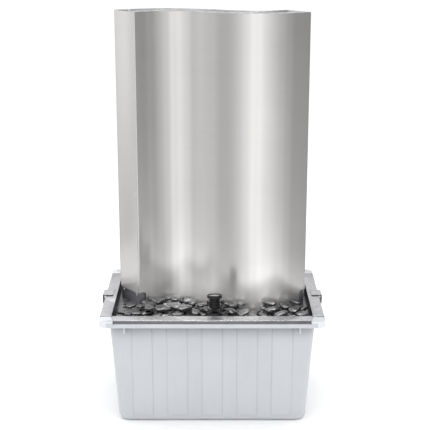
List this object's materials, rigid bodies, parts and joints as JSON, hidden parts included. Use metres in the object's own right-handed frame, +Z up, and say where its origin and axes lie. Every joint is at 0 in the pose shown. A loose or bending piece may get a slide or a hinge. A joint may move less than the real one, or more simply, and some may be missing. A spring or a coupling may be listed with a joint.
{
  "type": "water wall fountain",
  "caption": "Stainless S-curved water wall standing in a pebble tray over a translucent reservoir tub, with a submerged pump and a small black spotlight.",
  "frame": {"origin": "centre of the tub's flat underside", "axes": "+Z up, +X to the right and -Y to the front, where the spotlight stands"},
  "size_m": [0.617, 0.45, 1.0935],
  "materials": {
    "tub_plastic": "translucent white, semi-matt",
    "wall_steel": "fine horizontal brushed grain",
    "rail_steel": "brushed along the rail, lightly mottled",
    "inner_steel": "mill finish sheet and tube",
    "dark_coat": "dark grey powder coat",
    "screw_steel": "bright",
    "lamp_black": "black anodised",
    "pump_black": "moulded black",
    "grey_plastic": "moulded grey",
    "ceramic": "polished ceramic",
    "rubber": "black",
    "lamp_glass": "clear lens",
    "led_board": "white board",
    "hose": "smoky flexible hose",
    "pebble_stone": "polished dark grey stone"
  },
  "bodies": {
    "fountain": {"tub": "tub_plastic", "wall_front_skin": "wall_steel", "wall_back_skin": "wall_steel", "wall_left_end": "wall_steel", "wall_right_end": "wall_steel", "wall_trough": "wall_steel", "diffuser_plate": "wall_steel", "front_rail": "rail_steel", "rear_rail": "rail_steel", "left_rail": "rail_steel", "right_rail": "rail_steel", "tray_floor": "inner_steel", "left_cross_beam": "inner_steel", "right_cross_beam": "inner_steel", "wall_rib_lower": "inner_steel", "wall_rib_middle": "inner_steel", "wall_rib_upper": "inner_steel", "spreader_pipe": "inner_steel", "wall_left_foot": "dark_coat", "wall_right_foot": "dark_coat", "wall_left_bolt": "screw_steel", "wall_right_bolt": "screw_steel", "left_foot_screw_a": "screw_steel", "left_foot_screw_b": "screw_steel", "right_foot_screw_a": "screw_steel", "right_foot_screw_b": "screw_steel", "hose_clamp_lower": "screw_steel", "hose_clamp_upper": "screw_steel", "lamp_base": "lamp_black", "pump_body": "pump_black", "pump_outlet": "pump_black", "lamp_socket": "pump_black", "impeller_shaft": "ceramic", "suction_foot_front_left": "rubber", "suction_foot_front_right": "rubber", "suction_foot_rear_left": "rubber", "suction_foot_rear_right": "rubber", "pump_cable_gland": "rubber", "lamp_gland": "rubber", "lamp_lead": "rubber", "lamp_plug": "rubber", "riser_hose": "hose", "pebbles_front_left": "pebble_stone", "pebbles_front_right": "pebble_stone", "pebbles_rear_left": "pebble_stone", "pebbles_rear_right": "pebble_stone"},
    "left_clip_body": {"left_rim_clip": "rail_steel"},
    "right_clip_body": {"right_rim_clip": "rail_steel"},
    "lamp_yoke_body": {"lamp_yoke": "lamp_black", "lamp_pivot_pin": "lamp_black"},
    "lamp_head_body": {"lamp_head": "lamp_black", "lamp_bezel": "lamp_black", "lamp_glass": "lamp_glass", "led_board": "led_board"},
    "lamp_knob_body": {"lamp_lock_knob": "lamp_black"},
    "flow_knob_body": {"pump_flow_knob": "grey_plastic"},
    "impeller_body": {"pump_impeller": "grey_plastic"},
    "pump_cover_body": {"pump_cover": "pump_black"}
  },
  "joints": [
    {"name": "left_clip_pull", "type": "slide", "parent": "fountain", "child": "left_clip_body", "axis": [-1, 0, 0], "range_m": [0, 0.04]},
    {"name": "right_clip_pull", "type": "slide", "parent": "fountain", "child": "right_clip_body", "axis": [1, 0, 0], "range_m": [0, 0.04]},
    {"name": "lamp_swivel", "type": "hinge", "parent": "fountain", "child": "lamp_yoke_body", "pos_m": [0.0065, -0.155, 0.313], "axis": [0, 0, 1], "range_deg": [-60, 60]},
    {"name": "lamp_tilt", "type": "hinge", "parent": "lamp_yoke_body", "child": "lamp_head_body", "pos_m": [0.0065, -0.155, 0.336], "axis": [1, 0, 0], "range_deg": [-52, 28]},
    {"name": "lamp_lock_turn", "type": "hinge", "parent": "lamp_yoke_body", "child": "lamp_knob_body", "pos_m": [0.0065, -0.155, 0.336], "axis": [1, 0, 0], "range_deg": [0, 270]},
    {"name": "flow_knob_turn", "type": "hinge", "parent": "fountain", "child": "flow_knob_body", "pos_m": [0.026, 0.03, 0.07], "axis": [0, 0, 1], "range_deg": [0, 90]},
    {"name": "impeller_spin", "type": "hinge", "parent": "fountain", "child": "impeller_body", "pos_m": [0, 0.01, 0.04], "axis": [0, 1, 0], "continuous": true},
    {"name": "strainer_pull", "type": "slide", "parent": "fountain", "child": "pump_cover_body", "axis": [0, -1, 0], "range_m": [0, 0.03]}
  ]
}
